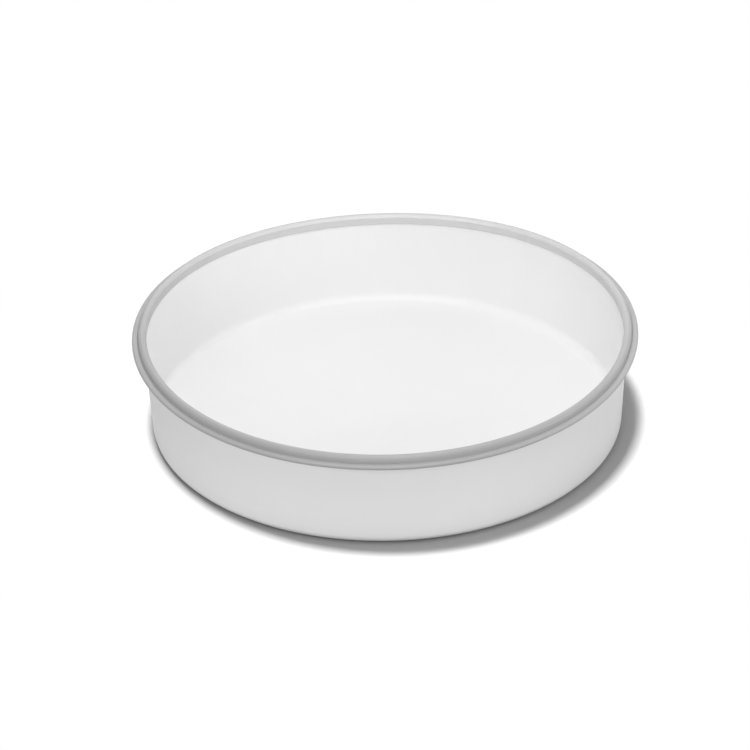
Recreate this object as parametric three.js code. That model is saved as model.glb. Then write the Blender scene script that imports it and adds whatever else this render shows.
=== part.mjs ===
// Round silicone cake mould: a white pan whose wall ends in a tongue, a grey collar moulded over
// that tongue to make the rim, and a steel hoop caught between the two that keeps the mouth round.
// Millimetres, +Z up, origin in the middle of the base.

import {
  EllipseCurve,
  Group,
  LatheGeometry,
  MathUtils,
  Mesh,
  MeshStandardMaterial,
  TorusGeometry,
  Vector2,
} from 'three';

// Pan
const mouldHeight = 53.4; // base to the top of the bead
const footDiameter = 243; // outside of the wall, carried down to the base plane
const wallDraft = 3; // degrees that the wall leans outward, so that a cake slips out
const wallThickness = 1.3; // measured level
const floorThickness = 2.2;
const footRadius = 4; // round under the wall, outside
const floorCornerRadius = 4; // round between floor and wall, inside
const flareHeight = 2.5; // the wall spreads over this height to carry its tongue

// Rim collar
const collarHeight = 5.6;
const beadWidth = 3.9; // the high roll beside the mouth
const grooveWidth = 1.68; // floor of the groove between bead and lip
const grooveDepth = 0.15; // below the top of the lip
const lipDiameter = 2.3; // the low roll outside the groove

// Hoop in the middle of the bead
const wireDiameter = 1.5;
const fitClearance = 0.3; // between the pan, the collar and the hoop

// Facets
const turnSegments = 72; // round the mould
const arcStepDegrees = 22.5; // along a round in a section
const wireSides = 10;

// Heights of the rim, from the top down
const beadRadius = beadWidth / 2;
const lipRadius = lipDiameter / 2;
const wireHeight = mouldHeight - beadRadius;
const seamHeight = mouldHeight - collarHeight;
const shoulderHeight = seamHeight - fitClearance;

// Radii of the wall and the rim, from the mouth outward
const draftSlope = Math.tan(MathUtils.degToRad(wallDraft));
const wallOutside = (height) => footDiameter / 2 + height * draftSlope;
const wallInside = (height) => wallOutside(height) - wallThickness;
const mouthRadius = wallInside(seamHeight);
const wireCircleRadius = mouthRadius + beadRadius;
const wireRadius = wireDiameter / 2;
const channelRadius = wireRadius + fitClearance;
const tongueInside = wireCircleRadius - wireRadius;
const tongueOutside = wireCircleRadius + wireRadius;

// Points along an arc of a section, from one angle to another in degrees
function arc(x, y, radius, startDegrees, endDegrees) {
  const start = MathUtils.degToRad(startDegrees);
  const end = MathUtils.degToRad(endDegrees);
  const steps = Math.ceil(Math.abs(endDegrees - startDegrees) / arcStepDegrees);
  return new EllipseCurve(x, y, radius, radius, start, end, endDegrees < startDegrees).getPoints(steps);
}

// Turns a section (radius, height) about the upright axis
function turned(section) {
  const geometry = new LatheGeometry(section, turnSegments);
  return geometry.rotateX(Math.PI / 2);
}

// The pan's section runs out along the base, up the outside, over the tongue and down the inside.
// The tongue's edge is hollowed to cradle the hoop.
function mouldBodyGeometry() {
  const wallLean = Math.cos(MathUtils.degToRad(wallDraft));
  const footCentre = wallOutside(footRadius) - footRadius / wallLean;
  const cornerHeight = floorThickness + floorCornerRadius;
  const cornerCentre = wallInside(cornerHeight) - floorCornerRadius / wallLean;
  const flareFoot = shoulderHeight - flareHeight;
  const cradleTip = MathUtils.radToDeg(Math.acos(wireRadius / channelRadius));
  return turned([
    new Vector2(0, 0),
    ...arc(footCentre, footRadius, footRadius, -90, -wallDraft),
    new Vector2(wallOutside(flareFoot), flareFoot),
    new Vector2(tongueOutside, shoulderHeight),
    ...arc(wireCircleRadius, wireHeight, channelRadius, -cradleTip, cradleTip - 180),
    new Vector2(tongueInside, shoulderHeight),
    new Vector2(wallInside(shoulderHeight), shoulderHeight),
    ...arc(cornerCentre, cornerHeight, floorCornerRadius, -wallDraft, -90),
    new Vector2(0, floorThickness),
  ]);
}

// The collar's section runs out under the channel and the lip, back over the lip, through the
// groove and over the bead to the mouth. The channel is open below, where the tongue enters.
function rimCollarGeometry() {
  const beadOutside = mouthRadius + beadWidth;
  const lipHeight = seamHeight + lipRadius;
  const grooveHeight = Math.min(lipHeight + lipRadius - grooveDepth, wireHeight);
  const grooveRise = Math.asin((grooveHeight - lipHeight) / lipRadius);
  const lipCentre = beadOutside + grooveWidth + lipRadius * Math.cos(grooveRise);
  const seamStart = new Vector2(mouthRadius, seamHeight);
  return turned([
    seamStart,
    new Vector2(wireCircleRadius - channelRadius, seamHeight),
    ...arc(wireCircleRadius, wireHeight, channelRadius, 180, 0),
    new Vector2(wireCircleRadius + channelRadius, seamHeight),
    ...arc(lipCentre, lipHeight, lipRadius, -90, 180 - MathUtils.radToDeg(grooveRise)),
    new Vector2(beadOutside, grooveHeight),
    ...arc(wireCircleRadius, wireHeight, beadRadius, 0, 180),
    seamStart,
  ]);
}

function rimWireRingGeometry() {
  const hoop = new TorusGeometry(wireCircleRadius, wireRadius, wireSides, turnSegments);
  return hoop.translate(0, 0, wireHeight);
}

const whiteSilicone = new MeshStandardMaterial({ color: '#f3f3f2', roughness: 0.5, metalness: 0 });
const greySilicone = new MeshStandardMaterial({ color: '#bcbdbe', roughness: 0.45, metalness: 0 });
const springSteel = new MeshStandardMaterial({ color: '#c4c7ca', roughness: 0.3, metalness: 1 });

function piece(name, geometry, material) {
  const mesh = new Mesh(geometry, material);
  mesh.name = name;
  return mesh;
}

const cakeMould = new Group();
cakeMould.add(
  piece('mould_body', mouldBodyGeometry(), whiteSilicone),
  piece('rim_collar', rimCollarGeometry(), greySilicone),
  piece('rim_wire_ring', rimWireRingGeometry(), springSteel),
);

export default cakeMould;
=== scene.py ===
import math
import bpy
from mathutils import Matrix, Vector


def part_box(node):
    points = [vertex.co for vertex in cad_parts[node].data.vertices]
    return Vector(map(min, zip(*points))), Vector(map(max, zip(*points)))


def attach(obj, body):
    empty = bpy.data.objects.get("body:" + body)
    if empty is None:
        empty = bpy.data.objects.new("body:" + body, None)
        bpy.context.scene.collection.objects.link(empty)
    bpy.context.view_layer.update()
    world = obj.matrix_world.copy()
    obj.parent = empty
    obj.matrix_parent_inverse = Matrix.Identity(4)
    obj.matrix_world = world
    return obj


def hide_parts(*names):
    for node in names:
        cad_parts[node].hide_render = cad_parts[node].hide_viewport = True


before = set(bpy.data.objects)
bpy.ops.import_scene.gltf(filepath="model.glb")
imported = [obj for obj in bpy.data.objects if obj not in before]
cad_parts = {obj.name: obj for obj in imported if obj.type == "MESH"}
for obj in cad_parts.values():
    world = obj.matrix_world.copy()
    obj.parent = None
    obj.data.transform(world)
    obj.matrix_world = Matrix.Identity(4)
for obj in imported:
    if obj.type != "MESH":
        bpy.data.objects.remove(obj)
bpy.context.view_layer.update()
scene = bpy.context.scene
mm = 0.001
print("mould: frame loaded")


# adds a node to any tree, with its settings and its inputs, which are links or plain values
def addNode(tree, kind, inputs=None, **settings):
    node = tree.nodes.new(kind)
    for name, value in settings.items():
        setattr(node, name, value)
    for socket, source in (inputs or {}).items():
        if isinstance(source, bpy.types.NodeSocket):
            tree.links.new(source, node.inputs[socket])
        else:
            node.inputs[socket].default_value = source
    return node


# sockets of a Mix node that mixes colours, which share their names with its other sockets
mixShare = 0
mixFirst = 6
mixSecond = 7
mixResult = 2


# the sRGB curve
def hexToLinear(code):
    parts = [int(code[i:i + 2], 16) / 255 for i in (1, 3, 5)]
    return [c / 12.92 if c <= 0.04045 else ((c + 0.055) / 1.055) ** 2.4 for c in parts] + [1.0]


def startMaterial(name):
    material = bpy.data.materials.new(name)
    material.use_nodes = True
    material.node_tree.nodes.clear()
    return material, material.node_tree


# Sections: corners are (radius, height, round) in millimetres, run with the solid on the left.
# Short guard runs beside each round keep the smooth shading of flat faces clean.
sectionDetail = {
    "longestRun": 5.0,
    "wholeRun": 0.6,  # a shorter run isn't divided
    "guard": 0.15,
    "arcStep": math.radians(9),
    "leastSteps": 2,
    "roundShare": 0.98,  # of a half circle, so that a sliver of flat stays between its two rounds
}


def cornerArc(before, corner, after, radius):
    toBefore = (before - corner).normalized()
    toAfter = (after - corner).normalized()
    half = toBefore.angle(toAfter) / 2
    reach = radius / math.tan(half)
    centre = corner + (toBefore + toAfter).normalized() * radius / math.sin(half)
    start = (corner + toBefore * reach - centre).normalized()
    end = (corner + toAfter * reach - centre).normalized()
    steps = max(sectionDetail["leastSteps"], math.ceil((math.pi - 2 * half) / sectionDetail["arcStep"]))
    return [centre + start.slerp(end, k / steps) * radius for k in range(steps + 1)]


def straightRun(start, end):
    length = (end - start).length
    if length < sectionDetail["wholeRun"]:
        return [end]
    guard = sectionDetail["guard"]
    pieces = math.ceil((length - 2 * guard) / sectionDetail["longestRun"])
    span = (length - 2 * guard) / pieces
    marks = [guard + span * k for k in range(pieces + 1)] + [length]
    return [start.lerp(end, mark / length) for mark in marks]


def sectionPoints(corners, closed):
    places = [Vector((r, z)) for r, z, _ in corners]
    turns = []
    for i, (_, _, radius) in enumerate(corners):
        after = places[(i + 1) % len(places)]
        turns += cornerArc(places[i - 1], places[i], after, radius) if radius else [places[i]]
    if closed:
        turns.append(turns[0])
    points = [turns[0]]
    for target in turns[1:]:
        points += straightRun(points[-1], target)
    return points


# Geometry Nodes: a section in the XZ plane is turned about the upright axis. A soft ring of this
# size takes a slight three-cornered set, so the mouth bows out and up a little in three places.
bow = {
    "Segments": 288,
    "Weld Distance": 0.0005 * mm,
    "Crests": 3,
    "Bow Out": 1.25 * mm,
    "Bow Up": 0.5 * mm,
    "Bow Turn": math.radians(34),
    "Bow Foot": 10 * mm,
    "Bow Head": 53 * mm,
}


def turningTree():
    tree = bpy.data.node_groups.new("turnedSection", "GeometryNodeTree")
    tree.interface.new_socket("Section", in_out="INPUT", socket_type="NodeSocketGeometry")
    for name, value in bow.items():
        kind = "NodeSocketInt" if isinstance(value, int) else "NodeSocketFloat"
        tree.interface.new_socket(name, in_out="INPUT", socket_type=kind)
    tree.interface.new_socket("Finish", in_out="INPUT", socket_type="NodeSocketMaterial")
    tree.interface.new_socket("Turned", in_out="OUTPUT", socket_type="NodeSocketGeometry")
    given = addNode(tree, "NodeGroupInput").outputs

    # a sheet of 1 by 1 about its middle, with one column per segment and one row per section point
    size = addNode(tree, "GeometryNodeAttributeDomainSize", {"Geometry": given["Section"]}, component="MESH")
    count = size.outputs["Point Count"]
    columns = addNode(tree, "ShaderNodeMath", {0: given["Segments"], 1: 1.0}, operation="ADD").outputs[0]
    sheet = addNode(tree, "GeometryNodeMeshGrid", {
        "Size X": 1.0,
        "Size Y": 1.0,
        "Vertices X": columns,
        "Vertices Y": count,
    })
    place = addNode(tree, "GeometryNodeInputPosition").outputs[0]
    onSheet = addNode(tree, "ShaderNodeSeparateXYZ", {0: place}).outputs
    angle = addNode(tree, "ShaderNodeMath", {0: onSheet["X"], 1: math.tau}, operation="MULTIPLY").outputs[0]
    along = addNode(tree, "ShaderNodeMath", {0: onSheet["Y"], 1: 0.5}, operation="ADD").outputs[0]
    last = addNode(tree, "ShaderNodeMath", {0: count, 1: 1.0}, operation="SUBTRACT").outputs[0]
    row = addNode(tree, "ShaderNodeMath", {0: along, 1: last}, operation="MULTIPLY").outputs[0]
    index = addNode(tree, "ShaderNodeMath", {0: row}, operation="ROUND").outputs[0]
    corner = addNode(tree, "GeometryNodeSampleIndex", {
        "Geometry": given["Section"],
        "Value": place,
        "Index": index,
    }, data_type="FLOAT_VECTOR", domain="POINT").outputs[0]

    # the bow grows with height and has its crests evenly round the mouth
    height = addNode(tree, "ShaderNodeSeparateXYZ", {0: corner}).outputs["Z"]
    grown = addNode(tree, "ShaderNodeMapRange", {
        "Value": height,
        "From Min": given["Bow Foot"],
        "From Max": given["Bow Head"],
    }, interpolation_type="SMOOTHSTEP").outputs[0]
    turn = addNode(tree, "ShaderNodeMath", {0: angle, 1: given["Bow Turn"]}, operation="SUBTRACT").outputs[0]
    phase = addNode(tree, "ShaderNodeMath", {0: turn, 1: given["Crests"]}, operation="MULTIPLY").outputs[0]
    wave = addNode(tree, "ShaderNodeMath", {0: phase}, operation="COSINE").outputs[0]
    share = addNode(tree, "ShaderNodeMath", {0: wave, 1: grown}, operation="MULTIPLY").outputs[0]
    crest = addNode(tree, "ShaderNodeCombineXYZ", {"X": given["Bow Out"], "Z": given["Bow Up"]}).outputs[0]
    shift = addNode(tree, "ShaderNodeVectorMath", {0: crest, "Scale": share}, operation="SCALE").outputs[0]
    bowed = addNode(tree, "ShaderNodeVectorMath", {0: corner, 1: shift}, operation="ADD").outputs[0]

    swung = addNode(tree, "ShaderNodeVectorRotate", {"Vector": bowed, "Angle": angle}, rotation_type="Z_AXIS")
    shaped = addNode(tree, "GeometryNodeSetPosition", {
        "Geometry": sheet.outputs["Mesh"],
        "Position": swung.outputs[0],
    })
    welded = addNode(tree, "GeometryNodeMergeByDistance", {
        "Geometry": shaped.outputs[0],
        "Distance": given["Weld Distance"],
    })
    smooth = addNode(tree, "GeometryNodeSetShadeSmooth", {"Geometry": welded.outputs[0]})
    real = addNode(tree, "GeometryNodeRealizeInstances", {"Geometry": smooth.outputs[0]})
    finished = addNode(tree, "GeometryNodeSetMaterial", {
        "Geometry": real.outputs[0],
        "Material": given["Finish"],
    })
    addNode(tree, "NodeGroupOutput", {0: finished.outputs[0]})
    return tree


turned = turningTree()


def turnedPiece(name, corners, closed, finish):
    points = sectionPoints(corners, closed)
    section = bpy.data.meshes.new(name + "Section")
    runs = [(i, i + 1) for i in range(len(points) - 1)]
    section.from_pydata([(p.x * mm, 0, p.y * mm) for p in points], runs, [])
    piece = bpy.data.objects.new(name, section)
    scene.collection.objects.link(piece)
    modifier = piece.modifiers.new("turnedSection", "NODES")
    modifier.node_group = turned
    inputs = dict(bow, Finish=finish)
    for item in turned.interface.items_tree:
        if item.in_out == "INPUT" and item.name in inputs:
            modifier[item.identifier] = inputs[item.name]
    evaluated = piece.evaluated_get(bpy.context.evaluated_depsgraph_get())
    mesh = bpy.data.meshes.new_from_object(evaluated)
    mesh.name = name
    piece.modifiers.clear()
    piece.data = mesh
    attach(piece, "root")
    return piece


# Silicone rubber, pressed in a steel tool with a finely spark-eroded face: a satin skin with broad,
# soft highlights, a very fine grain, and light that wanders a little way under the surface.
silicone = {"refraction": 1.41, "cloudDetail": 2.0, "grainDetail": 3.0}


def siliconeMaterial(name, look):
    material, tree = startMaterial(name)
    place = addNode(tree, "ShaderNodeTexCoord").outputs["Object"]
    clouds = addNode(tree, "ShaderNodeTexNoise", {
        "Vector": place,
        "Scale": 1 / (look["cloudSize"] * mm),
        "Detail": silicone["cloudDetail"],
    })
    colour = addNode(tree, "ShaderNodeMix", {
        mixShare: clouds.outputs[0],
        mixFirst: hexToLinear(look["colour"]),
        mixSecond: hexToLinear(look["cloudColour"]),
    }, data_type="RGBA")
    grain = addNode(tree, "ShaderNodeTexNoise", {
        "Vector": place,
        "Scale": 1 / (look["grainSize"] * mm),
        "Detail": silicone["grainDetail"],
    })
    roughness = addNode(tree, "ShaderNodeMapRange", {
        "Value": grain.outputs[0],
        "To Min": look["roughness"][0],
        "To Max": look["roughness"][1],
    })
    bump = addNode(tree, "ShaderNodeBump", {
        "Height": grain.outputs[0],
        "Distance": look["grainHeight"] * mm,
        "Strength": 1.0,
    })
    shader = addNode(tree, "ShaderNodeBsdfPrincipled", {
        "Base Color": colour.outputs[mixResult],
        "Roughness": roughness.outputs[0],
        "Normal": bump.outputs[0],
        "IOR": silicone["refraction"],
        "Specular IOR Level": look["gloss"],
        "Subsurface Weight": look["scatter"],
        "Subsurface Scale": look["scatterDepth"] * mm,
        "Subsurface Radius": (1.0, 1.0, 1.0),
    })
    addNode(tree, "ShaderNodeOutputMaterial", {"Surface": shader.outputs[0]})
    return material


# White pan, in millimetres; the heights and radii that the pieces share stand below the hoop
pan = {
    "footDiameter": 243,
    "draft": math.tan(math.radians(3)),
    "wall": 1.3,
    "floor": 2.2,
    "footRound": 4.0,
    "floorRound": 4.0,
    "flareHeight": 2.5,
    "flareRound": 3.0,
    "edgeRound": 0.15,
    "seamGap": 0.04,  # hairline where the collar was moulded on
}

whiteLook = {
    "colour": "#f3f3f3",
    "cloudColour": "#f0f0f0",
    "cloudSize": 35,
    "grainSize": 0.9,  # about three times coarser than the tool's own grain, so that it shows
    "grainHeight": 0.006,
    "roughness": (0.48, 0.6),
    "gloss": 0.3,
    "scatter": 0.5,
    "scatterDepth": 3.0,
}


def wallOutside(height):
    return pan["footDiameter"] / 2 + height * pan["draft"]


def wallInside(height):
    return wallOutside(height) - pan["wall"]


# out along the base, up the outside, over the tongue that holds the collar and down the inside
def panCorners():
    shoulder = seamHeight - pan["seamGap"]
    flareFoot = shoulder - pan["flareHeight"]
    tip = math.acos(wireRadius / channelRadius)
    tipHeight = wireHeight - channelRadius * math.sin(tip)
    cradleCorner = wireHeight - channelRadius / math.sin(tip)
    return [
        (0, 0, 0),
        (wallOutside(0), 0, pan["footRound"]),
        (wallOutside(flareFoot), flareFoot, pan["flareRound"]),
        (wireCircle + wireRadius, shoulder, 0),
        (wireCircle + wireRadius, tipHeight, 0),
        (wireCircle, cradleCorner, channelRadius * sectionDetail["roundShare"]),
        (wireCircle - wireRadius, tipHeight, 0),
        (wireCircle - wireRadius, shoulder, 0),
        (wallInside(shoulder), shoulder, pan["edgeRound"]),
        (wallInside(pan["floor"]), pan["floor"], pan["floorRound"]),
        (0, pan["floor"], 0),
    ]


# Grey collar, in millimetres
collar = {
    "bead": 3.9,
    "beadRound": 1.9,
    "beadWaist": 1.4,  # height of the bead's shoulder above the lip
    "beadFlare": 0.25,  # how far the bead spreads from there down to the groove
    "mouthSwell": 0.2,  # how far the bead stands out into the mouth
    "sideRound": 2.5,
    "grooveDepth": 0.36,
    "grooveWidth": 0.5,
    "grooveRound": 0.1,
    "lip": 2.3,
    "edgeRound": 0.15,
}

greyLook = {
    "colour": "#ababab",
    "cloudColour": "#a7a7a7",
    "cloudSize": 20,
    "grainSize": 0.6,  # drawn coarser too
    "grainHeight": 0.002,
    "roughness": (0.34, 0.42),
    "gloss": 0.5,
    "scatter": 0.1,
    "scatterDepth": 1.0,
}


# out under the channel and the lip, back over the lip, through the groove and over the bead
def collarCorners():
    beadOutside = mouthRadius + collar["bead"]
    beadInside = mouthRadius - collar["mouthSwell"]
    beadFoot = beadOutside + collar["beadFlare"]
    lipRound = collar["lip"] / 2 * sectionDetail["roundShare"]
    lipTop = seamHeight + collar["lip"]
    grooveHeight = lipTop - collar["grooveDepth"]
    waistHeight = lipTop + collar["beadWaist"]
    channelTop = wireHeight + channelRadius
    channelRound = channelRadius * sectionDetail["roundShare"]
    edge = collar["edgeRound"]
    return [
        (mouthRadius, seamHeight, edge),
        (wireCircle - channelRadius, seamHeight, edge),
        (wireCircle - channelRadius, channelTop, channelRound),
        (wireCircle + channelRadius, channelTop, channelRound),
        (wireCircle + channelRadius, seamHeight, edge),
        (rimRadius, seamHeight, lipRound),
        (rimRadius, lipTop, lipRound),
        (beadFoot + collar["grooveWidth"], lipTop, collar["grooveRound"]),
        (beadFoot, grooveHeight, collar["grooveRound"]),
        (beadOutside, waistHeight, collar["sideRound"]),
        (beadOutside, topHeight, collar["beadRound"]),
        (beadInside, topHeight, collar["beadRound"]),
        (beadInside, waistHeight, collar["sideRound"]),
    ]


# Steel hoop in the middle of the bead, in millimetres
hoop = {"wire": 1.5, "clearance": 0.3, "roundShare": 0.99}

steelLook = {"colour": "#c4c7ca", "drawMarks": 0.3, "markDetail": 4.0, "roughness": (0.22, 0.38)}


def hoopCorners():
    wireRound = wireRadius * hoop["roundShare"]
    return [
        (wireCircle + side * wireRadius, wireHeight + rise * wireRadius, wireRound)
        for side, rise in ((-1, -1), (1, -1), (1, 1), (-1, 1))
    ]


# drawn spring steel wire: bright and smooth, with a faint unevenness left by the die
def steelMaterial():
    material, tree = startMaterial("drawnSteelWire")
    place = addNode(tree, "ShaderNodeTexCoord").outputs["Object"]
    marks = addNode(tree, "ShaderNodeTexNoise", {
        "Vector": place,
        "Scale": 1 / (steelLook["drawMarks"] * mm),
        "Detail": steelLook["markDetail"],
    })
    roughness = addNode(tree, "ShaderNodeMapRange", {
        "Value": marks.outputs[0],
        "To Min": steelLook["roughness"][0],
        "To Max": steelLook["roughness"][1],
    })
    shader = addNode(tree, "ShaderNodeBsdfPrincipled", {
        "Base Color": hexToLinear(steelLook["colour"]),
        "Metallic": 1.0,
        "Roughness": roughness.outputs[0],
    })
    addNode(tree, "ShaderNodeOutputMaterial", {"Surface": shader.outputs[0]})
    return material


# Heights and radii that the pieces share, in millimetres, from the frame and the values above
rimLow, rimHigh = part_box("rim_collar")
seamHeight = rimLow.z / mm
topHeight = rimHigh.z / mm
rimRadius = rimHigh.x / mm
mouthRadius = wallInside(seamHeight)
beadRadius = collar["bead"] / 2
wireRadius = hoop["wire"] / 2
wireHeight = topHeight - beadRadius
wireCircle = mouthRadius + beadRadius
channelRadius = wireRadius + hoop["clearance"]

whiteSilicone = siliconeMaterial("whiteSiliconeRubber", whiteLook)
panPiece = turnedPiece("silicone_pan", panCorners(), False, whiteSilicone)
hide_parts("mould_body")
print("mould: pan turned")

greySilicone = siliconeMaterial("greySiliconeRubber", greyLook)
collarPiece = turnedPiece("silicone_rim", collarCorners(), True, greySilicone)
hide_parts("rim_collar")
print("mould: rim turned")

hoopPiece = turnedPiece("wire_hoop", hoopCorners(), True, steelMaterial())
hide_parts("rim_wire_ring")
print("mould: hoop turned")


# Studio: white paper under soft light, in metres
studio = {
    "floorReach": 3.0,
    "fadeStart": 0.16,  # from here outward the paper runs into the white background
    "fadeEnd": 0.25,
    "seenPaper": "#dadada",
    "bouncePaper": "#909090",  # what the paper throws back on the mould's outside
    "skyFill": 0.32,
    "paperDrop": 0.1 * mm,  # keeps the paper clear of the mould's base
}


# 1 for what the camera sees, straight or mirrored, and 0 for light that only fills in
def seenDirectly(tree):
    rays = addNode(tree, "ShaderNodeLightPath").outputs
    seen = rays["Is Camera Ray"]
    for kind in ("Is Glossy Ray", "Is Transmission Ray"):
        seen = addNode(tree, "ShaderNodeMath", {0: seen, 1: rays[kind]}, operation="MAXIMUM").outputs[0]
    return seen


# matt white paper: no gloss, only the soft shadow of what stands on it
def floorMaterial():
    material, tree = startMaterial("whitePaper")
    seen = seenDirectly(tree)
    place = addNode(tree, "ShaderNodeTexCoord").outputs["Object"]
    reach = addNode(tree, "ShaderNodeVectorMath", {0: place}, operation="LENGTH")
    fade = addNode(tree, "ShaderNodeMapRange", {
        "Value": reach.outputs["Value"],
        "From Min": studio["fadeStart"],
        "From Max": studio["fadeEnd"],
    }, interpolation_type="SMOOTHSTEP")
    white = addNode(tree, "ShaderNodeMath", {0: seen, 1: fade.outputs[0]}, operation="MULTIPLY")
    colour = addNode(tree, "ShaderNodeMix", {
        mixShare: seen,
        mixFirst: hexToLinear(studio["bouncePaper"]),
        mixSecond: hexToLinear(studio["seenPaper"]),
    }, data_type="RGBA")
    paper = addNode(tree, "ShaderNodeBsdfDiffuse", {"Color": colour.outputs[mixResult]})
    glow = addNode(tree, "ShaderNodeEmission", {"Strength": 1.0})
    mixed = addNode(tree, "ShaderNodeMixShader", {
        0: white.outputs[0],
        1: paper.outputs[0],
        2: glow.outputs[0],
    })
    addNode(tree, "ShaderNodeOutputMaterial", {"Surface": mixed.outputs[0]})
    return material


def buildFloor():
    reach = studio["floorReach"]
    mesh = bpy.data.meshes.new("paper")
    corners = [(-reach, -reach), (reach, -reach), (reach, reach), (-reach, reach)]
    mesh.from_pydata([(x, y, -studio["paperDrop"]) for x, y in corners], [], [(0, 1, 2, 3)])
    mesh.materials.append(floorMaterial())
    floor = bpy.data.objects.new("paper", mesh)
    scene.collection.objects.link(floor)
    return floor


def buildSky():
    world = bpy.data.worlds.new("whiteStudio")
    world.use_nodes = True
    tree = world.node_tree
    tree.nodes.clear()
    strength = addNode(tree, "ShaderNodeMapRange", {
        "Value": seenDirectly(tree),
        "To Min": studio["skyFill"],
        "To Max": 1.0,
    })
    sky = addNode(tree, "ShaderNodeBackground", {
        "Color": (1.0, 1.0, 1.0, 1.0),
        "Strength": strength.outputs[0],
    })
    addNode(tree, "ShaderNodeOutputWorld", {"Surface": sky.outputs[0]})
    scene.world = world


# Lamps, in degrees, metres and watts: azimuth 0 is the camera's side and 90 the right. The soft
# boxes and fills light the mould, and the paper has a lamp of its own, which throws the shadow.
# Two small lamps stand for the glow of the white inside and of the white surroundings on the rim.
softbox = {"away": 1.5, "aim": (0, 0, 0), "size": (0.7, 0.7), "lights": "mould"}
lamps = {
    "topSoftbox": dict(softbox, azimuth=0, elevation=75, watts=9.0),
    "backSoftbox": dict(softbox, azimuth=180, elevation=46, size=(1.3, 1.3), watts=6.6),
    "leftSoftbox": dict(softbox, azimuth=-32, elevation=28, watts=4.0),
    "frontFill": dict(softbox, azimuth=0, elevation=12, watts=4.0),
    "rightFill": dict(softbox, azimuth=75, elevation=12, watts=4.8),
    "rimLamp": {
        "azimuth": 180,
        "elevation": 85.6,
        "away": 0.13,
        "aim": (0.02, 0.125, 0.06),
        "size": (0.12, 0.06),
        "watts": 0.17,
        "lights": "rim",
    },
    "rimSideLamp": {
        "azimuth": 79,
        "elevation": 29,
        "away": 0.35,
        "aim": (0.126, 0, 0.05),
        "size": (0.12, 0.12),
        "watts": 0.09,
        "lights": "rim",
    },
    "paperSoftbox": {
        "azimuth": 244,
        "elevation": 84.4,
        "away": 3.0,
        "aim": (0, 0, 0),
        "size": (0.4, 0.4),
        "watts": 108,
        "lights": "paper",
    },
}


def addLamps(floor):
    groups = {}
    for name, piece, state in (
        ("mould", floor, "EXCLUDE"),
        ("paper", floor, "INCLUDE"),
        ("rim", collarPiece, "INCLUDE"),
        ("shadow", collarPiece, "EXCLUDE"),
    ):
        groups[name] = bpy.data.collections.new(name + "Lamps")
        groups[name].objects.link(piece)
        groups[name].collection_objects[0].light_linking.link_state = state
    for name, lamp in lamps.items():
        light = bpy.data.lights.new(name, "AREA")
        light.shape = "RECTANGLE"
        light.size, light.size_y = lamp["size"]
        light.energy = lamp["watts"]
        turn = Matrix.Rotation(math.radians(lamp["azimuth"]), 3, "Z")
        rise = math.radians(lamp["elevation"])
        place = turn @ Vector((0, -math.cos(rise), math.sin(rise))) * lamp["away"]
        lampObject = bpy.data.objects.new(name, light)
        lampObject.location = place
        lampObject.rotation_euler = (Vector(lamp["aim"]) - place).to_track_quat("-Z", "Y").to_euler()
        lampObject.light_linking.receiver_collection = groups[lamp["lights"]]
        if lamp["lights"] == "paper":
            # the rim throws no shadow, so that the shadow stays close to the wall
            lampObject.light_linking.blocker_collection = groups["shadow"]
        lampObject.visible_camera = False
        lampObject.visible_glossy = lamp["lights"] != "rim"  # a glow isn't mirrored as a lamp
        scene.collection.objects.link(lampObject)


# Camera: a long lens 1.8 m away, 31 degrees above the table and held a degree out of level
view = {
    "distance": 1.82,
    "elevation": math.radians(31.35),
    "roll": math.radians(-1.3),
    "lens": 167.8,
    "sensor": 36,
    "aim": (-0.0059, 0.0109, 0.0179),
}


def addCamera():
    data = bpy.data.cameras.new("photographCamera")
    data.sensor_width = view["sensor"]
    data.lens = view["lens"]
    camera = bpy.data.objects.new("photographCamera", data)
    place = Vector((0, -math.cos(view["elevation"]), math.sin(view["elevation"]))) * view["distance"]
    look = (Vector(view["aim"]) - place).to_track_quat("-Z", "Y").to_matrix().to_4x4()
    camera.matrix_world = Matrix.Translation(place) @ look @ Matrix.Rotation(view["roll"], 4, "Z")
    scene.collection.objects.link(camera)
    scene.camera = camera


addLamps(buildFloor())
buildSky()
addCamera()
scene.view_settings.view_transform = "Standard"
print("mould: studio, lamps and camera set")
